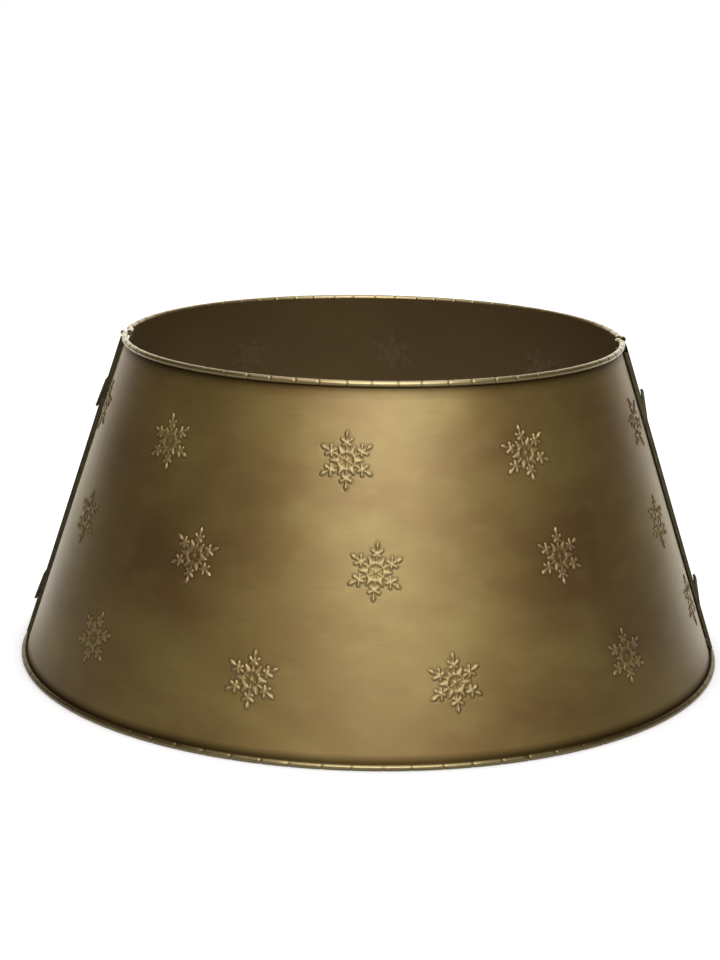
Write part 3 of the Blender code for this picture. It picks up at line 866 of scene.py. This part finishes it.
def brass_on(name, shades, rubbed_and_highlit, roughness, coat_roughness):
    """Thin rolled sheet with a brass-coloured finish, wiped brown by hand and lacquered.

    It is cloudy, olive in one place and reddish brown in the next, with short level smears. Painted shade
    darkens the corners beside the rims, the rolls' nips and the grooves round the snowflakes, and what stands
    proud is worn paler and carries painted highlight. The inner face is plainer and a little darker as
    painted shade, with painted highlight in the hollows behind the snowflakes.
    """
    made = new_material(name)
    tree = made.node_tree
    where = add_node(tree, "ShaderNodeAttribute", {"attribute_name": "unrolled"}).outputs["Vector"]
    relief, inner, corner = (
        add_node(tree, "ShaderNodeAttribute", {"attribute_name": noted}).outputs["Fac"]
        for noted in ("relief", "inner face", "corner")
    )
    clouds = clouded(tree, where, CLOUD_SIZE, CLOUD_STRETCH, detail=4.0)
    stain = clouded(tree, where, STAIN_SIZE, STAIN_STRETCH)
    mottle = clouded(tree, where, MOTTLE_SIZE, MOTTLE_STRETCH, detail=5.0)
    smears = clouded(tree, where, SMEAR_SIZE, SMEAR_STRETCH)
    outside = laid_over(tree, clouds, *CLOUDS_AT, *map(colour, shades))
    # Each layer: the pattern that it follows, where on that the layer starts and where it is strongest, its
    # colour, and how strong it gets
    layers = (
        (stain, 0.50, 0.80, BROWN_STAIN, 0.48),
        (mottle, 0.50, 0.75, PALE_MOTTLE, 0.22),
        (smears, 0.60, 0.80, DARK_SMEAR, 0.25),
        # Painted shade in the grooves round the snowflakes
        (relief, 0.0, -0.10, GROOVE_SHADE, 0.40),
        # Ridges worn paler, with painted highlight on their crowns
        (relief, 0.45, 0.85, RUBBED_AND_HIGHLIT_RIDGE, rubbed_and_highlit),
        # Painted shade in the corners beside the rims and on the rolls
        (corner, 0.0, 1.0, CORNER_SHADE, 0.88),
    )
    for pattern, first_at, last_at, code, most in layers:
        outside = laid_over(tree, pattern, first_at, last_at, outside, colour(code), most)
    # The inner face a little darker as painted shade, with painted highlight in the hollows behind the
    # snowflakes
    inside = laid_over(tree, relief, 0.0, -1.0, colour(INNER_FACE), colour(PAINTED_HOLLOW_HIGHLIGHT), PAINTED_HOLLOW_HIGHLIGHT_SHARE)
    both = laid_over(tree, inner, 0.0, 1.0, outside, inside, INNER_FACE_SHARE)
    ends = {"From Min": GLOSS_AT[0], "From Max": GLOSS_AT[1], "To Min": roughness[0], "To Max": roughness[1]}
    gloss = add_node(tree, "ShaderNodeMapRange", {}, {"Value": clouds, **ends}).outputs[0]
    # The lacquer is gone where painted shade fills the corners
    coat_off_in_corner_shade = {"Value": corner, "To Min": 1.0, "To Max": 0.0}
    cover = add_node(tree, "ShaderNodeMapRange", {}, coat_off_in_corner_shade).outputs[0]
    coat = {"Coat Weight": cover, "Coat Roughness": coat_roughness}
    shader = add_node(
        tree, "ShaderNodeBsdfPrincipled", {},
        {"Base Color": both, "Metallic": 1.0, "Roughness": gloss, **coat},
    )
    add_node(tree, "ShaderNodeOutputMaterial", {}, {"Surface": shader.outputs[0]})
    return made


def dark_brass_and_land_shade():
    """The same finish dark on the bent strips, the rivets and, as painted shade, the seams' lands: dull,
    hardly worn.
    """
    made = new_material("dark aged brass on strips, painted shade on lands")
    tree = made.node_tree
    where = add_node(tree, "ShaderNodeTexCoord").outputs["Object"]
    clouds = clouded(tree, where, STRIP_CLOUD_SIZE)
    body = laid_over(tree, clouds, *STRIP_CLOUDS_AT, *map(colour, STRIP_SHADES))
    dull, dullest = STRIP_ROUGHNESS
    ends = {"From Min": GLOSS_AT[0], "From Max": GLOSS_AT[1], "To Min": dull, "To Max": dullest}
    gloss = add_node(tree, "ShaderNodeMapRange", {}, {"Value": clouds, **ends}).outputs[0]
    shader = add_node(
        tree, "ShaderNodeBsdfPrincipled", {},
        {"Base Color": body, "Metallic": 1.0, "Roughness": gloss, "Specular Tint": colour(STRIP_GLINT)},
    )
    add_node(tree, "ShaderNodeOutputMaterial", {}, {"Surface": shader.outputs[0]})
    return made


def drawn_wire():
    """Plain drawn steel wire: grey, with faint die lines that dull it in patches."""
    made = new_material("drawn steel wire")
    tree = made.node_tree
    where = add_node(tree, "ShaderNodeTexCoord").outputs["Object"]
    lines = clouded(tree, where, WIRE_LINE_SIZE)
    shade = laid_over(tree, lines, 0.0, 1.0, *map(colour, WIRE_SHADES))
    ends = {"To Min": WIRE_ROUGHNESS[0], "To Max": WIRE_ROUGHNESS[1]}
    gloss = add_node(tree, "ShaderNodeMapRange", {}, {"Value": lines, **ends}).outputs[0]
    shader = add_node(
        tree, "ShaderNodeBsdfPrincipled", {}, {"Base Color": shade, "Metallic": 1.0, "Roughness": gloss},
    )
    add_node(tree, "ShaderNodeOutputMaterial", {}, {"Surface": shader.outputs[0]})
    return made


# The collar

brass = brass_on(
    "aged brass finish on rolled sheet",
    shades=("8b6e39", "a48f50"), rubbed_and_highlit=0.40, roughness=(0.55, 0.61), coat_roughness=0.43,
)
# The rolls' paler shades: burnished wear, and painted highlight
rim_brass = brass_on(
    "aged brass finish burnished on rolled rims",
    shades=("a89766", "b8a876"), rubbed_and_highlit=0.0, roughness=(0.40, 0.46), coat_roughness=0.32,
)
strip_brass_and_land_shade = dark_brass_and_land_shade()
wire = drawn_wire()

HALVES = {
    "front": {
        "body": "front_half", "turn": 0.0, "seam": "right", "points": 1, "high_land": LAND_AT_LEAD,
        "rim_end": LAP_END + WIDE_RIM_SETBACK, "low_rim_end": "inset end",
    },
    "back": {
        "body": "back_half", "turn": pi, "seam": "left", "points": -1, "high_land": "land 0",
        "rim_end": LAP_END + RIM_SETBACK, "low_rim_end": "rim end",
    },
}


def fit(thing, half, node, materials):
    """Turns a piece to where its half stands, gives it its finish and its body, and hides the node it stands
    for.
    """
    thing.data.transform(Matrix.Rotation(half["turn"], 4, "Z"))
    for material in materials:
        thing.data.materials.append(material)
    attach(thing, half["body"])
    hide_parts(node)


def build_half(name, half):
    panel = name + "_panel"
    sheet = collar_sheet(name + "_stamped_sheet", half)
    fit(sheet, half, panel, [brass, strip_brass_and_land_shade])
    for rim in ("top", "bottom"):
        roll = rolled_rim("%s_%s_roll" % (name, rim), rim, half)
        fit(roll, half, panel, [rim_brass])
        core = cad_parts["%s_%s_rim_wire" % (name, rim)]
        core.data.materials.clear()
        core.data.materials.append(wire)
    seam, points = half["seam"], half["points"]
    for spot in HOOK_HEIGHT_SHARES[seam]:
        node = "%s_%s_hook" % (seam, spot)
        height = hook_height(seam, spot)
        fit(hook("bent_" + node, height, points), half, node, [strip_brass_and_land_shade])
        for number, share in enumerate(RIVET_PLACE_SHARES, 1):
            peg_node = "%s_rivet_%d" % (node, number)
            peg = rivet("domed_" + peg_node, height, points, share)
            fit(peg, half, peg_node, [strip_brass_and_land_shade])


for name, half in HALVES.items():
    build_half(name, half)


# Floor, light and camera

def floor():
    """A pale floor that glows to white for the eye, less close to the collar: painted shadow over its real
    shadow there.

    Metal and glass see the white sweep behind the collar, which widens away from it like a roll of paper.
    """
    bm = bmesh.new()
    bmesh.ops.create_grid(bm, x_segments=1, y_segments=1, size=FLOOR_HALF_SIZE)
    ground = mesh_object(bm, "studio_floor")
    made = new_material("white studio floor")
    tree = made.node_tree
    maths = "ShaderNodeMath"
    minus, times, larger = ({"operation": name} for name in ("SUBTRACT", "MULTIPLY", "MAXIMUM"))
    where = add_node(tree, "ShaderNodeTexCoord").outputs["Object"]
    place = add_node(tree, "ShaderNodeSeparateXYZ", {}, {"Vector": where}).outputs
    # The sweep: full within its half width, which grows with the distance behind the collar
    spread = add_node(tree, maths, times, {0: place["Y"], 1: SWEEP_SPREAD}).outputs[0]
    shifted = add_node(tree, maths, minus, {0: place["X"], 1: SWEEP_SHIFT}).outputs[0]
    aside = add_node(tree, maths, {"operation": "ABSOLUTE"}, {0: shifted}).outputs[0]
    beside = add_node(tree, maths, minus, {0: aside, 1: spread}).outputs[0]
    ends = {"From Min": SWEEP_HALF_WIDTH + SWEEP_EDGE, "From Max": SWEEP_HALF_WIDTH}
    within = add_node(tree, "ShaderNodeMapRange", {}, {"Value": beside, **ends}).outputs[0]
    ends = {"From Min": -SWEEP_START, "From Max": SWEEP_START}
    behind = add_node(tree, "ShaderNodeMapRange", {}, {"Value": place["Y"], **ends}).outputs[0]
    sweep = add_node(tree, maths, times, {0: within, 1: behind}).outputs[0]
    # The eye sees the whole floor white, and metal and glass only the sweep
    ray = add_node(tree, "ShaderNodeLightPath").outputs
    rays = {0: ray["Is Glossy Ray"], 1: ray["Is Transmission Ray"]}
    mirrored = add_node(tree, maths, larger, rays).outputs[0]
    reflected = add_node(tree, maths, times, {0: mirrored, 1: sweep}).outputs[0]
    white = add_node(tree, maths, larger, {0: ray["Is Camera Ray"], 1: reflected}).outputs[0]
    # Close to the collar it glows less, which paints a shadow round its foot
    reach = add_node(tree, "ShaderNodeVectorMath", {"operation": "LENGTH"}, {0: where}).outputs["Value"]
    foot = BOTTOM_DIAMETER / 2
    ends = {"From Min": foot - SHADOW_WIDTH, "From Max": foot + SHADOW_WIDTH}
    clear = add_node(tree, "ShaderNodeMapRange", {}, {"Value": reach, **ends}).outputs[0]
    strength = add_node(tree, maths, times, {0: white, 1: clear}).outputs[0]
    rough = add_node(tree, "ShaderNodeBsdfDiffuse", {}, {"Color": colour(FLOOR_TINT)})
    paper = laid_over(tree, ray["Is Camera Ray"], 0.0, 1.0, colour(PAPER_TINT), colour(WHITE))
    glow = add_node(tree, "ShaderNodeEmission", {}, {"Color": paper, "Strength": strength})
    both = add_node(tree, "ShaderNodeAddShader", {}, {0: rough.outputs[0], 1: glow.outputs[0]})
    add_node(tree, "ShaderNodeOutputMaterial", {}, {"Surface": both.outputs[0]})
    ground.data.materials.append(made)


def studio():
    """White behind the collar and dim in front, which is what the metal shows; the eye sees only white."""
    world = bpy.data.worlds.new("studio")
    bpy.context.scene.world = world
    world.use_nodes = True
    tree = world.node_tree
    tree.nodes.clear()
    way = add_node(tree, "ShaderNodeTexCoord").outputs["Generated"]
    depth = add_node(tree, "ShaderNodeSeparateXYZ", {}, {"Vector": way}).outputs["Y"]
    ends = {
        "From Min": BACKDROP_FROM, "From Max": BACKDROP_FULL, "To Min": ROOM_LEVEL, "To Max": BACKDROP_LEVEL,
    }
    soft = {"interpolation_type": "SMOOTHSTEP"}
    behind = add_node(tree, "ShaderNodeMapRange", soft, {"Value": depth, **ends}).outputs[0]
    seen = add_node(tree, "ShaderNodeLightPath").outputs["Is Camera Ray"]
    # A mix node takes its two values at sockets 2 and 3
    levels = {"Factor": seen, 2: behind, 3: 1.0}
    strength = add_node(tree, "ShaderNodeMix", {"data_type": "FLOAT"}, levels).outputs[0]
    room = laid_over(tree, depth, BACKDROP_FROM, BACKDROP_FULL, colour(ROOM_TINT), colour(PAPER_TINT))
    paper = laid_over(tree, seen, 0.0, 1.0, room, colour(WHITE))
    lit = add_node(tree, "ShaderNodeBackground", {}, {"Color": paper, "Strength": strength})
    add_node(tree, "ShaderNodeOutputWorld", {}, {"Surface": lit.outputs[0]})


def softbox(name, azimuth, elevation, distance, size, power):
    """A broad lamp aimed at the collar, with its azimuth and elevation in degrees.

    The azimuth counts from the front, positive to the viewer's right.
    """
    data = bpy.data.lights.new(name, "AREA")
    data.shape = "RECTANGLE"
    data.size, data.size_y = size
    data.energy = power
    lamp = bpy.data.objects.new(name, data)
    turn, rise = radians(azimuth), radians(elevation)
    aim = Vector((0, 0, HEIGHT / 2))
    lamp.location = aim + distance * Vector((sin(turn) * cos(rise), -cos(turn) * cos(rise), sin(rise)))
    lamp.rotation_euler = (aim - lamp.location).to_track_quat("-Z", "Y").to_euler()
    bpy.context.scene.collection.objects.link(lamp)


def camera():
    data = bpy.data.cameras.new("camera")
    data.lens = CAMERA_LENS
    data.sensor_fit = "VERTICAL"
    data.sensor_height = SENSOR
    eye = bpy.data.objects.new("camera", data)
    heading = Matrix.Rotation(CAMERA_HEADING, 4, "Z")
    pitch = Matrix.Rotation(radians(90) - CAMERA_PITCH, 4, "X")
    roll = Matrix.Rotation(CAMERA_ROLL, 4, "Z")
    eye.matrix_world = Matrix.Translation(CAMERA_PLACE) @ heading @ pitch @ roll
    bpy.context.scene.collection.objects.link(eye)
    bpy.context.scene.camera = eye


floor()
studio()
softbox("key_softbox", azimuth=7.0, elevation=36, distance=2.4, size=(1.75, 1.40), power=41)
softbox("top_softbox", azimuth=0, elevation=82, distance=2.6, size=(2.2, 2.2), power=37)
camera()

bpy.context.scene.view_settings.view_transform = "Standard"
